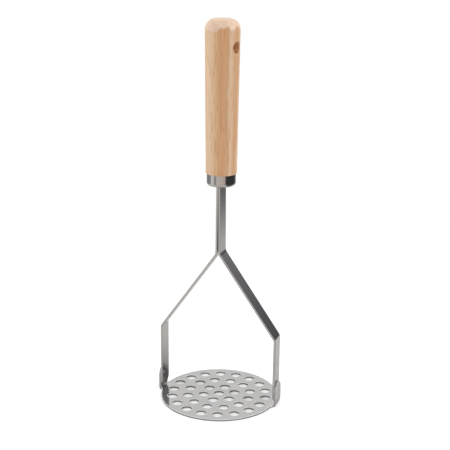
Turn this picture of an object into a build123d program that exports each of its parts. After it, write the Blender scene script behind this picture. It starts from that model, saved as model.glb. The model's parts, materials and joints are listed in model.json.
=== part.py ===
from build123d import *
from math import hypot, isclose, sqrt
import os

# Sizes are in millimetres. The origin is the centre of the plate's underside.
# +X runs from the centre to the right leg and +Z runs up the handle.

# Mashing plate
plate_diameter = 86.0
plate_thickness = 1.5
plate_rounding = 0.3
plate_margin = 4.4
hole_diameter = 7.6
hole_rings = 3
holes_per_ring_step = 6
hole_pattern_turn = 27.0

# Tongues of the plate, turned up outside the legs
tongue_width = 12.6
tongue_root_width = 17.5
tongue_height = 18.0
tongue_bend_radius = 1.0
leg_standoff = 1.2

# Bent strips that carry the plate
strip_width = 12.6
strip_thickness = 1.5
strip_rounding = 0.3
foot_clearance = 0.2
shoulder_height = 51.5
shoulder_bend_radius = 2.5
fork_height = 111.5
fork_bend_radius = 4.0
fork_splay = 0.4
tang_length = 56.0

# Spot welds
weld_diameter = 3.5
weld_depth = 0.5
foot_weld_pitch = 5.0
tang_weld_pitch = 18.0

# Ferrule
ferrule_base_height = 161.3
ferrule_height = 8.4
ferrule_diameter = 20.3
ferrule_wall = 0.8
ferrule_rounding = 2.1
slot_clearance = 0.15

# Handle
handle_length = 106.8
handle_low_diameter = 21.8
handle_top_diameter = 24.3
handle_low_rounding = 0.8
handle_top_rounding = 7.4
handle_crown_rise = 0.9
spigot_clearance = 0.05
bore_clearance = 0.3
bore_end_gap = 2.0
hang_hole_diameter = 8.5
hang_hole_drop = 19.0
hang_hole_turn = -12.0
hang_hole_rounding = 0.5

# Places that follow from the sizes
plate_radius = plate_diameter / 2
hole_pitch = (plate_radius - plate_margin - hole_diameter / 2) / hole_rings
leg_outer_x = plate_radius + leg_standoff
leg_inner_x = leg_outer_x - strip_thickness
tongue_root_x = sqrt(plate_radius**2 - (tongue_root_width / 2) ** 2)
tongue_bend_x = leg_outer_x - tongue_bend_radius
tongue_outer_x = leg_outer_x + plate_thickness
tongue_bend_z = plate_thickness + tongue_bend_radius
tongue_tip_z = tongue_height - tongue_width / 2
foot_z = tongue_bend_z + foot_clearance
foot_weld_z = (foot_z + tongue_height) / 2
ferrule_floor_z = ferrule_base_height + ferrule_wall
ferrule_top_z = ferrule_base_height + ferrule_height
ferrule_inner_radius = ferrule_diameter / 2 - ferrule_wall
ferrule_inner_rounding = ferrule_rounding - ferrule_wall
spigot_radius = ferrule_inner_radius - spigot_clearance
tang_top_z = ferrule_base_height + tang_length
tang_weld_z = (ferrule_top_z + tang_top_z) / 2
bore_radius = hypot(strip_width / 2, strip_thickness) + bore_clearance
bore_top_z = tang_top_z + bore_end_gap
handle_top_z = ferrule_top_z + handle_length
handle_crown_z = handle_top_z - handle_crown_rise
hang_hole_z = handle_top_z - hang_hole_drop

os.makedirs("parts", exist_ok=True)


def write_piece(piece, name):
    piece.part.label = name
    export_step(piece.part, f"parts/{name}.step")


# True for the edges that border a bent sheet's two faces, which are neither bend lines nor corners
def borders_sheet(edge, thickness):
    if edge.geom_type != GeomType.LINE:
        return True
    runs_across = abs(edge.tangent_at(0).Y) > 0.99
    runs_through = isclose(edge.length, thickness, rel_tol=0.01)
    return not (runs_across or runs_through)


# A pair of spot welds: round nuggets, each half in one of the two sheets that it joins
def weld_pair(joint_x, middle_z, pitch):
    with BuildPart() as nuggets:
        with BuildSketch(Plane.YZ.offset(joint_x)):
            with Locations((0, middle_z - pitch / 2), (0, middle_z + pitch / 2)):
                Circle(weld_diameter / 2)
        extrude(amount=weld_depth, both=True)
    return nuggets


left_foot_welds = weld_pair(-leg_outer_x, foot_weld_z, foot_weld_pitch)
right_foot_welds = weld_pair(leg_outer_x, foot_weld_z, foot_weld_pitch)
tang_welds = weld_pair(0, tang_weld_z, tang_weld_pitch)

# One tongue of the plate: the bend, and the upright with its round tip
with BuildPart() as tongue:
    with BuildSketch(Plane.XZ):
        with BuildLine():
            bend_outside = JernArc(
                start=(tongue_bend_x, 0),
                tangent=(1, 0),
                radius=tongue_outer_x - tongue_bend_x,
                arc_size=90,
            )
            upright = Polyline(
                bend_outside @ 1,
                (tongue_outer_x, tongue_tip_z),
                (leg_outer_x, tongue_tip_z),
                (leg_outer_x, tongue_bend_z),
            )
            bend_inside = JernArc(
                start=upright @ 1,
                tangent=(0, -1),
                radius=tongue_bend_radius,
                arc_size=-90,
            )
            Line(bend_inside @ 1, bend_outside @ 0)
        make_face()
    extrude(amount=tongue_width / 2, both=True)
    with BuildSketch(Plane.YZ.offset(leg_outer_x)):
        with Locations((0, tongue_tip_z)):
            Circle(tongue_width / 2)
    extrude(amount=plate_thickness)
    fillet(
        tongue.edges().filter_by(lambda edge: borders_sheet(edge, plate_thickness)),
        radius=plate_rounding,
    )

# The plate: a round perforated disc that widens into a tongue at each leg
with BuildPart() as mashing_plate:
    with BuildSketch():
        Circle(plate_radius)
        with BuildLine():
            Polyline(
                (tongue_root_x, -tongue_root_width / 2),
                (tongue_bend_x, -tongue_width / 2),
                (tongue_bend_x, tongue_width / 2),
                (tongue_root_x, tongue_root_width / 2),
                close=True,
            )
        make_face()
        mirror(about=Plane.YZ)
        Circle(hole_diameter / 2, mode=Mode.SUBTRACT)
        for ring in range(1, hole_rings + 1):
            with PolarLocations(ring * hole_pitch, ring * holes_per_ring_step, hole_pattern_turn):
                Circle(hole_diameter / 2, mode=Mode.SUBTRACT)
    extrude(amount=plate_thickness)
    underside, topside = mashing_plate.faces().filter_by(Axis.Z).sort_by(Axis.Z)
    rims = topside.edges() + underside.outer_wire().edges()
    fillet(rims.filter_by(GeomType.CIRCLE), radius=plate_rounding)
    add(tongue.part)
    add(tongue.part, rotation=(0, 0, 180))
    add(left_foot_welds.part, mode=Mode.SUBTRACT)
    add(right_foot_welds.part, mode=Mode.SUBTRACT)

# A bent strip: the leg with its round foot, the arm that leans in to the fork, and the tang
with BuildPart() as right_strip:
    with BuildSketch(Plane.XZ):
        with BuildLine():
            inner_face = FilletPolyline(
                (0, tang_top_z),
                (0, ferrule_base_height),
                (fork_splay, fork_height),
                (leg_inner_x, shoulder_height),
                (leg_inner_x, foot_z),
                radius=[0, fork_bend_radius + strip_thickness, shoulder_bend_radius],
                mode=Mode.PRIVATE,
            )
            offset(inner_face, amount=strip_thickness, side=Side.LEFT)
        make_face()
    extrude(amount=strip_width / 2, both=True)
    with BuildSketch(Plane.YZ):
        with Locations((0, foot_z + strip_width / 2)):
            Circle(strip_width / 2)
            Rectangle(strip_width, tang_top_z, align=(Align.CENTER, Align.MIN))
    extrude(amount=leg_outer_x, mode=Mode.INTERSECT)
    fillet(
        right_strip.edges().filter_by(lambda edge: borders_sheet(edge, strip_thickness)),
        radius=strip_rounding,
    )
    add(right_foot_welds.part, mode=Mode.SUBTRACT)
    add(tang_welds.part, mode=Mode.SUBTRACT)

with BuildPart() as left_strip:
    mirror(right_strip.part, about=Plane.YZ)

# The ferrule: a drawn cup whose floor has a slot for the two tangs
with BuildPart() as ferrule:
    with BuildSketch(Plane.XZ):
        with BuildLine():
            cup_outside = FilletPolyline(
                (0, ferrule_base_height),
                (ferrule_diameter / 2, ferrule_base_height),
                (ferrule_diameter / 2, ferrule_top_z),
                radius=ferrule_rounding,
            )
            cup_inside = FilletPolyline(
                (0, ferrule_floor_z),
                (ferrule_inner_radius, ferrule_floor_z),
                (ferrule_inner_radius, ferrule_top_z),
                radius=ferrule_inner_rounding,
            )
            Line(cup_outside @ 0, cup_inside @ 0)
            Line(cup_outside @ 1, cup_inside @ 1)
        make_face()
    revolve(axis=Axis.Z)
    with BuildSketch(Plane.XY.offset(ferrule_base_height)):
        Rectangle(2 * (strip_thickness + slot_clearance), strip_width + 2 * slot_clearance)
    extrude(amount=ferrule_wall, mode=Mode.SUBTRACT)

# The handle: turned wood with a spigot in the ferrule, a bore for the tangs and a hanging hole
with BuildPart() as handle:
    with BuildSketch(Plane.XZ) as turning:
        with BuildLine():
            crown = TangentArc((0, handle_top_z), (handle_top_diameter / 2, handle_crown_z), tangent=(1, 0))
            Polyline(
                crown @ 1,
                (handle_low_diameter / 2, ferrule_top_z),
                (spigot_radius, ferrule_top_z),
                (spigot_radius, ferrule_floor_z),
                (0, ferrule_floor_z),
                (0, handle_top_z),
            )
        make_face()
        for corner, rounding in (
            ((handle_top_diameter / 2, handle_crown_z), handle_top_rounding),
            ((handle_low_diameter / 2, ferrule_top_z), handle_low_rounding),
            ((spigot_radius, ferrule_floor_z), ferrule_inner_rounding + spigot_clearance),
        ):
            fillet(turning.vertices().sort_by_distance(corner)[0], radius=rounding)
    revolve(axis=Axis.Z)
    with BuildSketch(Plane.XY.offset(ferrule_floor_z)):
        Circle(bore_radius)
    extrude(amount=bore_top_z - ferrule_floor_z, mode=Mode.SUBTRACT)
    hole_direction = Vector(1, 0, 0).rotate(Axis.Z, hang_hole_turn)
    with BuildSketch(Plane(origin=(0, 0, hang_hole_z), z_dir=hole_direction)):
        Circle(hang_hole_diameter / 2)
    extrude(amount=handle_top_diameter, both=True, mode=Mode.SUBTRACT)
    fillet(handle.edges(Select.LAST), radius=hang_hole_rounding)

# Cured adhesive that fills the bore around the tangs
with BuildPart() as tang_adhesive:
    with BuildSketch(Plane.XY.offset(ferrule_floor_z)):
        Circle(bore_radius)
    extrude(amount=bore_top_z - ferrule_floor_z)
    add(left_strip.part, mode=Mode.SUBTRACT)
    add(right_strip.part, mode=Mode.SUBTRACT)
    add(tang_welds.part, mode=Mode.SUBTRACT)

write_piece(mashing_plate, "mashing_plate")
write_piece(left_strip, "left_strip")
write_piece(right_strip, "right_strip")
write_piece(left_foot_welds, "left_foot_welds")
write_piece(right_foot_welds, "right_foot_welds")
write_piece(tang_welds, "tang_welds")
write_piece(ferrule, "ferrule")
write_piece(handle, "handle")
write_piece(tang_adhesive, "tang_adhesive")
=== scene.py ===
import json
from math import asin, cos, pi, radians, sin

import bmesh
import bpy
from mathutils import Matrix, Vector

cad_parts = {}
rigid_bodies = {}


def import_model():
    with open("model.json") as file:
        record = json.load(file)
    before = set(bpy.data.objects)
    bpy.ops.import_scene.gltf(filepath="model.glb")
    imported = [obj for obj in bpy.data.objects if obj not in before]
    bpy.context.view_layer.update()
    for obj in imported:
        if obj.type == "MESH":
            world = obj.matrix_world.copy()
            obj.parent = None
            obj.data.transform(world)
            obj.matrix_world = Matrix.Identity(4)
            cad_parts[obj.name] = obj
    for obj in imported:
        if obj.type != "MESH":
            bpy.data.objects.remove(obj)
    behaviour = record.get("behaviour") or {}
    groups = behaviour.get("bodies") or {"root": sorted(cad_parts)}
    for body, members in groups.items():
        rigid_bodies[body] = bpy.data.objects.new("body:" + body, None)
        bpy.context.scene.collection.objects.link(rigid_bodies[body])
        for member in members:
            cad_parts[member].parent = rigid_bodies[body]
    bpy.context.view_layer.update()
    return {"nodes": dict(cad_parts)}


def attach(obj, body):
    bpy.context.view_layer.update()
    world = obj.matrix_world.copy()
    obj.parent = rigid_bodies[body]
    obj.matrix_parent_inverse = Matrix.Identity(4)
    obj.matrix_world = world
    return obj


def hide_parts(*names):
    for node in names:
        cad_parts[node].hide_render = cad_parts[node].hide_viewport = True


for leftover in list(bpy.data.objects):  # the startup cube, lamp and camera
    bpy.data.objects.remove(leftover)

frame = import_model()
scene = bpy.context.scene
print("frame loaded:", ", ".join(sorted(frame["nodes"])))

mm = 0.001  # sizes below are in millimetres unless they say otherwise
hair = 0.001  # points closer than this are one


# A socket that a finish is built from; arithmetic on it adds Math nodes
class Wire:
    def __init__(self, socket):
        self.socket = socket

    @property
    def tree(self):
        return self.socket.id_data

    # One node: its type, its settings, the values or links of its sockets, and the outlet to use
    @staticmethod
    def node(tree, kind, settings=None, values=None, outlet=0):
        made = tree.nodes.new(kind)
        for name, value in (settings or {}).items():
            if name != "stops":
                setattr(made, name, value)
                continue
            stops = made.color_ramp.elements
            stops[0].position, stops[1].position = value[0][0], value[-1][0]
            for place, colour in value[1:-1]:
                stops.new(place)
            for stop, (place, colour) in zip(stops, value):
                stop.color = (*colour, 1)
        for name, value in (values or {}).items():
            if isinstance(value, (Wire, list)):  # a list of wires goes to one socket
                for wire in value if isinstance(value, list) else [value]:
                    tree.links.new(wire.socket, made.inputs[name])
            else:
                made.inputs[name].default_value = value
        return Wire(made.outputs[outlet]) if made.outputs else None

    def math(self, operation, *others):
        values = dict(enumerate((self, *others)))
        return Wire.node(self.tree, "ShaderNodeMath", {"operation": operation}, values)

    def __add__(self, other):
        return self.math("ADD", other)

    def __mul__(self, other):
        return self.math("MULTIPLY", other)

    def __sub__(self, other):
        return self.math("SUBTRACT", other)

    def __truediv__(self, other):
        return self.math("DIVIDE", other)

    def __rsub__(self, other):
        values = {0: other, 1: self}
        return Wire.node(self.tree, "ShaderNodeMath", {"operation": "SUBTRACT"}, values)

    __radd__ = __add__
    __rmul__ = __mul__

    # 0 below low, 1 above high, with a soft step between them
    def step(self, low, high):
        settings = {"interpolation_type": "SMOOTHSTEP"}
        values = {"Value": self, "From Min": low, "From Max": high}
        return Wire.node(self.tree, "ShaderNodeMapRange", settings, values)

    # Vector Math; lengths, distances and dot products leave by Value, and vectors by Vector
    def vector(self, operation, *others, outlet="Value"):
        values = dict(enumerate((self, *others)))
        settings = {"operation": operation}
        return Wire.node(self.tree, "ShaderNodeVectorMath", settings, values, outlet)

    # One of the three numbers of a vector or colour
    def part(self, axis):
        return Wire.node(self.tree, "ShaderNodeSeparateXYZ", None, {0: self}, axis)

    # Two colours mixed by the factor
    @staticmethod
    def mix(tree, factor, first, second):
        first, second = (c if isinstance(c, Wire) else (*c, 1) for c in (first, second))
        values = {0: factor, 6: first, 7: second}
        return Wire.node(tree, "ShaderNodeMix", {"data_type": "RGBA"}, values, 2)

    # This colour going over to the other one by the factor
    def blend(self, other, factor):
        return Wire.mix(self.tree, factor, self, other)

    # This number made a colour by stops, each a place and a colour
    def ramp(self, *stops):
        return Wire.node(self.tree, "ShaderNodeValToRGB", {"stops": stops}, {0: self})

    def bump(self, depth):
        values = {"Height": self, "Distance": depth * mm}
        return Wire.node(self.tree, "ShaderNodeBump", None, values)


def blankTree(owner):
    owner.use_nodes = True
    owner.node_tree.nodes.clear()
    return owner.node_tree


def rayIs(tree, kind):
    return Wire.node(tree, "ShaderNodeLightPath", outlet=f"Is {kind} Ray")


# The piece's own place in millimetres, stretched by the given factors
def placeOn(tree, stretch=(1, 1, 1), turn=(0, 0, 0), shift=(0, 0, 0)):
    values = {
        "Vector": Wire.node(tree, "ShaderNodeTexCoord", outlet="Object"),
        "Rotation": turn,
        "Location": shift,
        "Scale": tuple(s / mm for s in stretch),
    }
    return Wire.node(tree, "ShaderNodeMapping", None, values)


def noiseOn(tree, stretch, detail=2, roughness=0.5, distortion=0, turn=(0, 0, 0), shift=(0, 0, 0)):
    values = {
        "Vector": placeOn(tree, stretch, turn, shift),
        "Scale": 1.0,
        "Detail": detail,
        "Roughness": roughness,
        "Distortion": distortion,
    }
    return Wire.node(tree, "ShaderNodeTexNoise", None, values)


def finishWith(tree, values):
    surface = Wire.node(tree, "ShaderNodeBsdfPrincipled", None, values)
    Wire.node(tree, "ShaderNodeOutputMaterial", None, {"Surface": surface})


# Camera: the photograph's place, a little above and to the front of the right leg
cameraSizes = {
    "place": (219.0, -646.3, 329.2),
    "turn": 0.32234,  # radians round the handle
    "dip": 0.2813,
    "roll": 0.0111,
    "lens": 80.0,
    "sensor": 36.0,
    "nearest": 10.0,  # what is closer than this is clipped
}
frontSide = (0.3168, -0.9485, 0.0)  # level, from the handle's line to the photographed side
rightSide = (0.9485, 0.3168, 0.0)  # level, to the right of it


def placeCamera(sizes):
    camera = bpy.data.objects.new("photoCamera", bpy.data.cameras.new("photoCamera"))
    camera.data.lens = sizes["lens"]
    camera.data.sensor_width = sizes["sensor"]
    camera.data.clip_start = sizes["nearest"] * mm
    turned = Matrix.Rotation(sizes["turn"], 4, "Z")
    turned = turned @ Matrix.Rotation(pi / 2 - sizes["dip"], 4, "X")
    turned = turned @ Matrix.Rotation(sizes["roll"], 4, "Z")
    camera.matrix_world = Matrix.Translation(Vector(sizes["place"]) * mm) @ turned
    scene.collection.objects.link(camera)
    scene.camera = camera


# The angle round the handle's line in radians, from the front side, to the right positive
def angleRound(place):
    ahead = place.vector("DOT_PRODUCT", frontSide)
    return place.vector("DOT_PRODUCT", rightSide).math("ARCTAN2", ahead)


# Tones by the share of a turn, with their stops at the same angles in degrees
def tonesRound(share, stops):
    return share.ramp(*((degrees / 360 + 0.5, colour) for degrees, colour in stops))


placeCamera(cameraSizes)
print("camera placed")

# Studio: a white room with one dark side, which the polished steel mirrors. Each band holds what
# a look round the masher meets, in degrees from the front side, to the right positive.
roomLook = {
    "below": [
        (-180, (0.30, 0.30, 0.31)),
        (-98, (0.33, 0.32, 0.33)),
        (-84, (0.88, 0.85, 0.84)),
        (-66, (0.88, 0.85, 0.83)),
        (-56, (0.36, 0.34, 0.33)),
        (-47, (0.36, 0.34, 0.33)),
        (-37, (0.73, 0.69, 0.66)),
        (-22, (0.74, 0.66, 0.60)),
        (14, (0.70, 0.61, 0.54)),
        (30, (0.60, 0.51, 0.46)),
        (38, (0.055, 0.055, 0.053)),
        (121, (0.05, 0.05, 0.052)),
        (129, (0.16, 0.16, 0.17)),
        (165, (0.16, 0.16, 0.17)),
        (180, (0.30, 0.30, 0.31)),
    ],
    "above": [
        (-180, (0.86, 0.86, 0.86)),
        (-40, (0.86, 0.85, 0.84)),
        (25, (0.80, 0.78, 0.76)),
        (40, (0.10, 0.10, 0.105)),
        (150, (0.098, 0.096, 0.106)),
        (168, (0.86, 0.86, 0.86)),
        (180, (0.86, 0.86, 0.86)),
    ],
    "high": [
        (-180, (0.88, 0.88, 0.88)),
        (-40, (0.88, 0.87, 0.86)),
        (25, (0.80, 0.78, 0.76)),
        (45, (0.42, 0.41, 0.43)),
        (145, (0.42, 0.41, 0.43)),
        (164, (0.88, 0.88, 0.88)),
        (180, (0.88, 0.88, 0.88)),
    ],
    "ceiling": (0.90, 0.90, 0.90),
    # where a band takes over, by the height of a look of length 1
    "aboveStart": (-0.14, 0.04),
    "highStart": (0.07, 0.30),
    "aboveAgain": (0.24, 0.36),
    "ceilingStart": (0.38, 0.55),
    "ambient": (0.42, 0.42, 0.42),  # what the room gives to all that doesn't mirror it
    "backdrop": (1.0, 1.0, 1.0),  # what the camera sees of it
}


def lightRoom(look):
    world = bpy.data.worlds.new("studio")
    scene.world = world
    tree = blankTree(world)
    heading = Wire.node(tree, "ShaderNodeTexCoord", outlet="Generated")
    height = heading.part(2)
    share = angleRound(heading) / (2 * pi) + 0.5
    below, above, high = (tonesRound(share, look[band]) for band in ("below", "above", "high"))
    room = below.blend(above, height.step(*look["aboveStart"]))
    room = room.blend(high, height.step(*look["highStart"]))
    room = room.blend(above, height.step(*look["aboveAgain"]))
    room = room.blend(look["ceiling"], height.step(*look["ceilingStart"]))
    colour = Wire.mix(tree, rayIs(tree, "Glossy"), look["ambient"], room)
    seen = (rayIs(tree, "Camera") + rayIs(tree, "Transmission")).math("MINIMUM", 1.0)
    colour = colour.blend(look["backdrop"], seen)
    glow = Wire.node(tree, "ShaderNodeBackground", None, {"Color": colour})
    Wire.node(tree, "ShaderNodeOutputWorld", None, {"Surface": glow})


# The pale floor. The camera sees it go over into plain white; the steel mirrors a darker one.
floorSizes = {
    "radius": 760.0,
    "height": -0.02,  # just under the plate, whose underside is at 0
    "sides": 96,
    "colour": (0.80, 0.80, 0.80),
    "fade": (390.0, 520.0),  # where the camera's floor goes over into white
    "lift": (0.15, 0.40),  # what the camera sees on top of the lit floor, in the holes and outside; less in the holes, as painted shade under the plate
    "liftEdge": (41.0, 45.0),
    "mirrored": (0.69, 0.668, 0.65),
    "mirroredFade": (300.0, 700.0),  # how far from the masher the steel still mirrors the floor
    "shadeMiddle": (-14.0, 14.0, 0.0),  # the soft shade round the plate that the left leg mirrors
    "shadeStart": 20.0,
    "shadeReach": 67.0,
    "shadeFalloff": 0.27,
    "plateEdge": (42.0, 45.0),  # that shade starts outside the plate
    "rimShade": (42.0, 49.0),
    "underPlate": 0.54,  # painted shade: what is left of the mirrored floor in the holes and close to the rim
    "darkSide": (0.12, 0.12, 0.118),  # painted shade: the floor on the room's dark side, for the ferrule's rounding
    "darkStart": (88.0, 100.0),
    "darkTurn": ((0.76, 0.88), (1.95, 2.10)),  # radians from the front side
}


# The floor's colour in the steel, with painted shade round the plate, in the holes, at the rim and
# on the room's dark side
def mirroredFloor(tree, place, away, sizes):
    apart = place.vector("DISTANCE", sizes["shadeMiddle"]) - sizes["shadeStart"]
    shade = (apart / sizes["shadeReach"]).math("MAXIMUM", 0.0).math("MINIMUM", 1.0)
    shade = shade.math("POWER", sizes["shadeFalloff"])
    shade = shade.math("MAXIMUM", 1 - away.step(*sizes["plateEdge"]))
    left = sizes["underPlate"]
    shade = shade * (away.step(*sizes["rimShade"]) * (1 - left) + left)
    colour = Wire.mix(tree, shade, (0, 0, 0), sizes["mirrored"])
    around = angleRound(place)
    start, end = sizes["darkTurn"]
    dark = around.step(*start) * (1 - around.step(*end)) * away.step(*sizes["darkStart"])
    return colour.blend(sizes["darkSide"], dark)


def floorPaper(name, sizes):
    paint = bpy.data.materials.new(name)
    tree = blankTree(paint)
    place = placeOn(tree)
    away = place.vector("LENGTH")
    toCamera = rayIs(tree, "Camera")
    mirrored = mirroredFloor(tree, place, away, sizes)
    colour = Wire.mix(tree, rayIs(tree, "Glossy"), sizes["colour"], mirrored)
    paper = Wire.node(tree, "ShaderNodeBsdfDiffuse", None, {"Color": colour})
    inner, outer = sizes["lift"]
    # less glow in the plate's holes paints shade on the floor under the plate
    glow = toCamera * (away.step(*sizes["liftEdge"]) * (outer - inner) + inner)
    lift = Wire.node(tree, "ShaderNodeEmission", None, {"Strength": glow})
    lit = Wire.node(tree, "ShaderNodeAddShader", None, {0: paper, 1: lift})
    clear = Wire.node(tree, "ShaderNodeBsdfTransparent")
    plain = Wire.node(tree, "ShaderNodeEmission", None, {"Strength": 1.0})
    gone = Wire.node(tree, "ShaderNodeMixShader", None, {0: toCamera, 1: clear, 2: plain})
    faded, mirroredOut = away.step(*sizes["fade"]), away.step(*sizes["mirroredFade"])
    edge = faded * toCamera + mirroredOut * (1 - toCamera)
    surface = Wire.node(tree, "ShaderNodeMixShader", None, {0: edge, 1: lit, 2: gone})
    Wire.node(tree, "ShaderNodeOutputMaterial", None, {"Surface": surface})
    return paint


def layFloor(sizes):
    turns = [2 * pi * n / sizes["sides"] for n in range(sizes["sides"])]
    reach, height = sizes["radius"], sizes["height"]
    rim = [Vector((reach * cos(turn), reach * sin(turn), height)) * mm for turn in turns]
    mesh = bpy.data.meshes.new("paleFloor")
    mesh.from_pydata(rim, [], [range(len(rim))])
    mesh.materials.append(floorPaper("palePaper", sizes))
    floor = bpy.data.objects.new("paleFloor", mesh)
    scene.collection.objects.link(floor)


# Soft lamps that all face one place on the handle's line; their power is in watts
lampAim = (0.0, 0.0, 160.0)
lamps = {
    "leftLamp": {"place": (-820, -380, 470), "size": (450, 650), "power": 4.9},
    "rightLamp": {"place": (640, -90, 420), "size": (220, 520), "power": 2.75},
    "topLamp": {"place": (40, 260, 900), "size": (700, 700), "power": 2.0},
}


def hangLamp(name, lamp, aim):
    light = bpy.data.lights.new(name, "AREA")
    light.shape = "RECTANGLE"
    light.size, light.size_y = (side * mm for side in lamp["size"])
    light.energy = lamp["power"]
    holder = bpy.data.objects.new(name, light)
    place = Vector(lamp["place"]) * mm
    facing = (Vector(aim) * mm - place).to_track_quat("-Z", "Y")
    holder.matrix_world = Matrix.Translation(place) @ facing.to_matrix().to_4x4()
    holder.visible_glossy = False  # the steel mirrors the room, not the bare lamps
    scene.collection.objects.link(holder)


lightRoom(roomLook)
layFloor(floorSizes)
for name, lamp in lamps.items():
    hangLamp(name, lamp, lampAim)
scene.view_settings.view_transform = "Standard"
print("studio lit")

# Steels. Three factors say how fine a noise is along x, y and z, and an edge is a soft step.
sheetSteel = {
    "colour": (0.58, 0.572, 0.565),
    "roughness": 0.05,
    "cloudiness": 0.05,
    "strokeDepth": 0.0001,
}
steels = {
    "plateSteel": {**sheetSteel, "strokes": (0.05, 1.6, 0.05)},
    "stripSteel": {**sheetSteel, "strokes": (1.6, 1.6, 0.05)},
    "ferruleSteel": {**sheetSteel, "strokes": (0.3, 0.3, 2.2), "roughness": 0.03},
    "punchedSteel": {  # the walls of the plate's holes
        "colour": (0.52, 0.505, 0.515),
        "roughness": 0.26,
        "cloudiness": 0.15,
        "strokes": (0.8, 0.8, 0.2),
        "strokeDepth": 0.004,
    },
    "shearedShadedSteel": {  # the cut edges of the plate's tongues: rougher sheared steel, darkened with painted shade
        "colour": (0.29, 0.285, 0.28),
        "roughness": 0.16,
        "cloudiness": 0.10,
        "strokes": (0.8, 0.8, 0.2),
        "strokeDepth": 0.002,
    },
}
steelMarks = {
    "clouds": (0.07, 0.07, 0.07),
    "cloudShare": 0.7,  # of the tone; the brush strokes have the rest
    "tones": ((0.3, 0.93), (0.7, 1.03)),  # a place in that tone, and its share of the colour
    "specks": (0.9, 0.9, 0.9),
    "speckEdge": (0.62, 0.78),
    "speckRoughness": 0.04,
    "strokeRoughness": 0.03,
}


# Polished sheet steel with a faint brush mark, a little cloudiness and fine scratches
def polishedSteel(name, look, marks):
    paint = bpy.data.materials.new(name)
    tree = blankTree(paint)
    clouds = noiseOn(tree, marks["clouds"], 3)
    strokes = noiseOn(tree, look["strokes"], 4, 0.6)
    specks = noiseOn(tree, marks["specks"]).step(*marks["speckEdge"])
    tone = clouds * marks["cloudShare"] + strokes * (1 - marks["cloudShare"])
    stops = [(place, [c * share for c in look["colour"]]) for place, share in marks["tones"]]
    scratched = strokes * marks["strokeRoughness"] + specks * marks["speckRoughness"]
    values = {
        "Base Color": tone.ramp(*stops),
        "Metallic": 1.0,
        "Roughness": clouds * look["cloudiness"] + scratched + look["roughness"],
        "Normal": strokes.bump(look["strokeDepth"]),
    }
    finishWith(tree, values)
    return paint


woodLook = {
    "pale": (0.80, 0.57, 0.375),
    "honey": (0.82, 0.52, 0.295),
    "orange": (0.70, 0.39, 0.195),
    "tan": (0.61, 0.37, 0.21),
    "pink": (0.70, 0.48, 0.315),
    "streak": (0.52, 0.245, 0.11),
    "endGrain": (0.86, 0.66, 0.51),
    "endRing": (0.79, 0.54, 0.385),
    "bored": (0.80, 0.50, 0.29),  # the wood in the hanging hole
    # the figure round the handle, with painted sheen: the pink band from 25 to 36 degrees is a
    # painted highlight of the right lamp; in degrees from the front side, to the right positive
    "figureAndSheen": [
        (-180, "honey"),
        (-150, "orange"),
        (-118, "tan"),
        (-92, "honey"),
        (-66, "pale"),
        (-40, "pale"),
        (-25, "honey"),
        (-9, "orange"),
        (8, "orange"),
        (20, "tan"),
        (25, "pink"),
        (36, "pink"),
        (46, "tan"),
        (60, "tan"),
        (75, "pale"),
        (104, "honey"),
        (128, "orange"),
        (140, "pink"),
        (180, "honey"),
    ],
    "wander": 0.05,  # how far the bands of figure and painted sheen wander, as a share of a turn
    # each mark: where its noise starts to show, and how strongly it does
    "streaks": ((0.42, 0.80), 0.50),
    "paleStreaks": ((0.22, 0.50), 0.45),
    "pores": ((0.60, 0.68), 0.60),
    "fibres": ((0.25, 0.50), 0.14),
    # the end grain's edge: its height, and how much lower it is in pale wood, and how ragged
    "endStart": (275.0, 277.0),
    "endByTone": 14.0,
    "endRagged": 4.0,
    "endStrength": 0.9,
    "ringEdge": (0.38, 0.60),
    "holeMiddle": (0, 0, 257.5),
    "holeAxis": (cos(radians(12)), -sin(radians(12)), 0),
    "holeEdge": (4.35, 4.55),  # how far from that axis the bored wood ends
    "holeStrength": 0.9,
    "satin": 0.42,
    "fibreRoughness": 0.12,
    "poreRoughness": 0.2,
    "fibreHeight": 0.6,  # against the pores' depth of 1
    "grainDepth": 0.03,
}
woodNoise = {
    "wander": {"stretch": (0.10, 0.10, 0.02), "shift": (3, 7, 2)},
    "streaks": {"stretch": (0.95, 0.95, 0.022), "detail": 3, "roughness": 0.7, "distortion": 0.15},
    "fibres": {"stretch": (2.4, 2.4, 0.05), "roughness": 0.6},
    "pores": {"stretch": (1.5, 1.5, 0.085), "detail": 1, "roughness": 0.4, "shift": (5, 1, 9)},
    "ragged": {"stretch": (0.34, 0.34, 0.02), "roughness": 0.6, "shift": (2, 6, 1)},
    "rings": {
        "stretch": (0.30, 1.3, 0.30),
        "detail": 3,
        "roughness": 0.6,
        "distortion": 0.5,
        "turn": (0, 0, radians(35)),
    },
}
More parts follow.
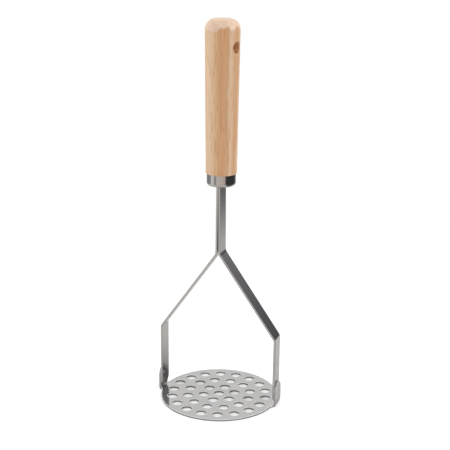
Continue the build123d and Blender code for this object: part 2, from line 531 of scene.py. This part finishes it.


# Turned hardwood: bands of figure and painted sheen round the handle, streaks and fine fibres
# along it, short dark pores, and end grain on top
def turnedWood(name, look, noises):
    paint = bpy.data.materials.new(name)
    tree = blankTree(paint)
    place = placeOn(tree)
    noise = {mark: noiseOn(tree, **form) for mark, form in noises.items()}
    # the bands round the handle: the wood's figure, and a painted highlight where the right lamp's
    # sheen falls
    share = angleRound(place) / (2 * pi) + (noise["wander"] - 0.5) * look["wander"] + 0.5
    wood = tonesRound(share, [(degrees, look[tone]) for degrees, tone in look["figureAndSheen"]])
    edge, strength = look["streaks"]
    wood = wood.blend(look["streak"], noise["streaks"].step(*edge) * strength)
    edge, strength = look["paleStreaks"]
    wood = wood.blend(look["pale"], (1 - noise["streaks"].step(*edge)) * strength)
    paleness = wood.part(1)
    edge, strength = look["pores"]
    pores = noise["pores"].step(*edge)
    wood = wood.blend(look["streak"], pores * strength)
    edge, strength = look["fibres"]
    wood = wood.blend(look["streak"], (1 - noise["fibres"].step(*edge)) * strength)
    ragged = (noise["ragged"] - 0.5) * look["endRagged"]
    ends = (place.part(2) + paleness * look["endByTone"] + ragged).step(*look["endStart"])
    ringStart, ringEnd = look["ringEdge"]
    endGrain = noise["rings"].ramp((ringStart, look["endRing"]), (ringEnd, look["endGrain"]))
    wood = wood.blend(endGrain, ends * look["endStrength"])
    fromHole = place.vector("SUBTRACT", look["holeMiddle"], outlet="Vector")
    fromHole = fromHole.vector("CROSS_PRODUCT", look["holeAxis"], outlet="Vector")
    bored = 1 - fromHole.vector("LENGTH").step(*look["holeEdge"])
    wood = wood.blend(look["bored"], bored * look["holeStrength"])
    fibreRough = (noise["fibres"] - 0.5) * look["fibreRoughness"]
    values = {
        "Base Color": wood,
        "Roughness": fibreRough + pores * look["poreRoughness"] + look["satin"],
        "Normal": (noise["fibres"] * look["fibreHeight"] - pores).bump(look["grainDepth"]),
    }
    finishWith(tree, values)
    return paint


resinLook = {
    "clouds": (0.4, 0.4, 0.4),
    "tones": ((0.3, (0.60, 0.52, 0.34)), (0.7, (0.72, 0.66, 0.48))),
    "roughness": 0.35,
    "cloudiness": 0.2,
}


def curedResin(name, look):
    paint = bpy.data.materials.new(name)
    tree = blankTree(paint)
    clouds = noiseOn(tree, look["clouds"], 3)
    rough = clouds * look["cloudiness"] + look["roughness"]
    finishWith(tree, {"Base Color": clouds.ramp(*look["tones"]), "Roughness": rough})
    return paint


paints = {name: polishedSteel(name, look, steelMarks) for name, look in steels.items()}
paints["handleWood"] = turnedWood("handleWood", woodLook, woodNoise)
paints["bondingResin"] = curedResin("bondingResin", resinLook)
print("finishes mixed")

dressed = {
    "left_strip": "stripSteel",
    "right_strip": "stripSteel",
    "left_foot_welds": "stripSteel",
    "right_foot_welds": "stripSteel",
    "tang_welds": "stripSteel",
    "ferrule": "ferruleSteel",
    "handle": "handleWood",
    "tang_adhesive": "bondingResin",
}
for name, paint in dressed.items():
    mesh = frame["nodes"][name].data
    mesh.materials.clear()
    mesh.materials.append(paints[paint])
print("strips, ferrule and handle dressed")

# The mashing plate: a flat blank is perforated, its rims are rounded and its tongues folded up
plateSizes = {
    "radius": 43.0,
    "thickness": 1.5,
    "rimRounding": 0.3,
    "roundingSteps": 3,
    "sharpEdge": 1.0,  # radians; edges that turn by more are rounded
    "rootWidth": 17.5,  # of the tongues, where they leave the round rim
    "tongueWidth": 12.6,
    "tongueHeight": 18.0,
    "foldStart": 43.2,
    "foldRadius": 2.5,  # of the underside
    "holeDiameter": 7.6,
    "holePitch": 11.6,
    "holeRings": 3,
    "patternTurn": radians(27),
    "holesWithin": 41.0,  # upright faces nearer the middle than this are walls of the holes
    "holeSides": 44,
    "rimSides": 180,
    "tipSides": 24,
    "foldSteps": 8,
}


# The tree that cuts the holes: one in the middle and rings of 6, 12, 18... round it
def perforationTree():
    tree = bpy.data.node_groups.new("perforatedBlank", "GeometryNodeTree")
    kinds = {
        "Outline": "NodeSocketGeometry",
        "Thickness": "NodeSocketFloat",
        "Hole Diameter": "NodeSocketFloat",
        "Hole Pitch": "NodeSocketFloat",
        "Hole Rings": "NodeSocketInt",
        "Hole Sides": "NodeSocketInt",
        "Pattern Turn": "NodeSocketFloat",
        "Steel": "NodeSocketMaterial",
    }
    for name, kind in kinds.items():
        tree.interface.new_socket(name, in_out="INPUT", socket_type=kind)
    tree.interface.new_socket("Blank", in_out="OUTPUT", socket_type="NodeSocketGeometry")
    given = {s.name: Wire(s) for s in tree.nodes.new("NodeGroupInput").outputs if s.name}

    def node(kind, values, settings=None):
        return Wire.node(tree, kind, settings, values)

    # the ring that each hole is on, from a sum that is whole at the ring's last hole
    rings = given["Hole Rings"]
    number = Wire.node(tree, "GeometryNodeInputIndex")
    ring = ((number * 12 + 9).math("SQRT") - 3) / 6
    ring = (ring - hair).math("CEIL")  # less a hair, so that no rounding error adds a ring
    along = number - ring * (ring - 1) * 3 - 1
    angle = along * (2 * pi) / (ring * 6) + given["Pattern Turn"]
    away = ring * given["Hole Pitch"]
    x, y = away * angle.math("COSINE"), away * angle.math("SINE")

    # the holes' circles and the rim are filled as one sheet
    points = node("GeometryNodePoints", {"Count": rings * (rings + 1) * 3 + 1})
    spot = node("ShaderNodeCombineXYZ", {0: x, 1: y})
    points = node("GeometryNodeSetPosition", {"Geometry": points, "Position": spot})
    values = {"Resolution": given["Hole Sides"], "Radius": given["Hole Diameter"] / 2}
    hole = node("GeometryNodeCurvePrimitiveCircle", values, {"mode": "RADIUS"})
    holes = node("GeometryNodeInstanceOnPoints", {"Points": points, "Instance": hole})
    holes = node("GeometryNodeRealizeInstances", {0: holes})
    rim = node("GeometryNodeMeshToCurve", {0: given["Outline"]})
    lines = node("GeometryNodeJoinGeometry", {0: [rim, holes]})
    sheet = node("GeometryNodeFillCurve", {0: lines}, {"mode": "NGONS"})

    # the sheet gets its thickness
    rise = node("ShaderNodeCombineXYZ", {2: given["Thickness"]})
    values = {"Mesh": sheet, "Offset": rise, "Individual": False}
    solid = node("GeometryNodeExtrudeMesh", values)
    under = node("GeometryNodeFlipFaces", {0: sheet})
    solid = node("GeometryNodeJoinGeometry", {0: [solid, under]})
    solid = node("GeometryNodeMergeByDistance", {0: solid, "Distance": hair * mm})
    solid = node("GeometryNodeRealizeInstances", {0: solid})
    solid = node("GeometryNodeSetMaterial", {"Geometry": solid, "Material": given["Steel"]})
    node("NodeGroupOutput", {0: solid})
    return tree


# A tongue and the rim beside it, and the same again on the other side
def blankOutline(sizes):
    start, radius = sizes["foldStart"], sizes["radius"]
    tip = start + sizes["tongueHeight"] + sizes["foldRadius"] * (pi / 2 - 1)
    half = sizes["tongueWidth"] / 2
    turns = [pi * (n / sizes["tipSides"] - 0.5) for n in range(sizes["tipSides"] + 1)]
    tongue = [(tip - half + half * cos(turn), half * sin(turn)) for turn in turns]
    rootTurn = asin(sizes["rootWidth"] / 2 / radius)
    steps = sizes["rimSides"] // 2
    turns = [rootTurn + (pi - 2 * rootTurn) * n / steps for n in range(steps + 1)]
    rim = [(radius * cos(turn), radius * sin(turn)) for turn in turns]
    side = [(start, -half), *tongue, (start, half), *rim]
    return side + [(-x, -y) for x, y in side]


def plainMesh(piece):
    finished = piece.evaluated_get(bpy.context.evaluated_depsgraph_get())
    piece.data = bpy.data.meshes.new_from_object(finished)
    piece.modifiers.clear()


def cutBlank(sizes, steel):
    outline = [Vector((x, y, 0)) * mm for x, y in blankOutline(sizes)]
    edges = [(n, (n + 1) % len(outline)) for n in range(len(outline))]
    mesh = bpy.data.meshes.new("mashingPlate")
    mesh.from_pydata(outline, edges, [])
    blank = bpy.data.objects.new("mashingPlate", mesh)
    scene.collection.objects.link(blank)
    cutter = blank.modifiers.new("perforate", "NODES")
    cutter.node_group = perforationTree()
    values = {
        "Thickness": sizes["thickness"] * mm,
        "Hole Diameter": sizes["holeDiameter"] * mm,
        "Hole Pitch": sizes["holePitch"] * mm,
        "Hole Rings": sizes["holeRings"],
        "Hole Sides": sizes["holeSides"],
        "Pattern Turn": sizes["patternTurn"],
        "Steel": steel,
    }
    for socket in cutter.node_group.interface.items_tree:
        if socket.name in values:
            cutter[socket.identifier] = values[socket.name]
    plainMesh(blank)
    return blank


# Where a point of the flat blank goes when its tongue is folded up
def foldPoint(sizes, x, z):
    start, radius = sizes["foldStart"], sizes["foldRadius"]
    turn = min((x - start) / radius, pi / 2)
    over = max(x - start - radius * pi / 2, 0)
    return start + (radius - z) * sin(turn), radius - (radius - z) * cos(turn) + over


# Lines across the tongues let them bend, and the rims are rounded while all is still flat
def roundRims(shape, sizes):
    bend = sizes["foldRadius"] * pi / 2
    for side in (1, -1):
        for step in range(sizes["foldSteps"] + 1):
            place = Vector((side * (sizes["foldStart"] + bend * step / sizes["foldSteps"]), 0, 0))
            bmesh.ops.bisect_plane(
                shape,
                geom=[*shape.verts, *shape.edges, *shape.faces],
                dist=hair * mm,
                plane_co=place * mm,
                plane_no=(1, 0, 0),
            )
    sharp = sizes["sharpEdge"]
    bmesh.ops.bevel(
        shape,
        geom=[e for e in shape.edges if len(e.link_faces) == 2 and e.calc_face_angle() > sharp],
        offset=sizes["rimRounding"] * mm,
        offset_type="OFFSET",
        segments=sizes["roundingSteps"],
        profile=0.5,
        affect="EDGES",
    )


def makePlate(sizes, faces, holeWalls, tongueEdges):
    plate = cutBlank(sizes, faces)
    plate.data.materials.append(holeWalls)
    plate.data.materials.append(tongueEdges)
    shape = bmesh.new()
    shape.from_mesh(plate.data)
    roundRims(shape, sizes)
    shape.normal_update()
    for face in shape.faces:
        face.smooth = True
        middle = face.calc_center_median() / mm
        upright = abs(face.normal.z) <= 0.5
        if upright and middle.to_2d().length < sizes["holesWithin"]:
            face.material_index = 1
        elif upright and abs(middle.x) > sizes["foldStart"]:
            # the tongues' upright cut edges take the steel that is darkened with painted shade
            face.material_index = 2
    for vert in shape.verts:
        if abs(vert.co.x) > sizes["foldStart"] * mm:
            side = 1 if vert.co.x > 0 else -1
            x, z = foldPoint(sizes, abs(vert.co.x) / mm, vert.co.z / mm)
            vert.co.x, vert.co.z = side * x * mm, z * mm
    shape.to_mesh(plate.data)
    shape.free()
    plate.modifiers.new("flatFaces", "WEIGHTED_NORMAL")
    plainMesh(plate)
    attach(plate, "root")
    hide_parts("mashing_plate")
    return plate


plate = makePlate(plateSizes, paints["plateSteel"], paints["punchedSteel"], paints["shearedShadedSteel"])
print("plate perforated and folded:", len(plate.data.polygons), "faces")
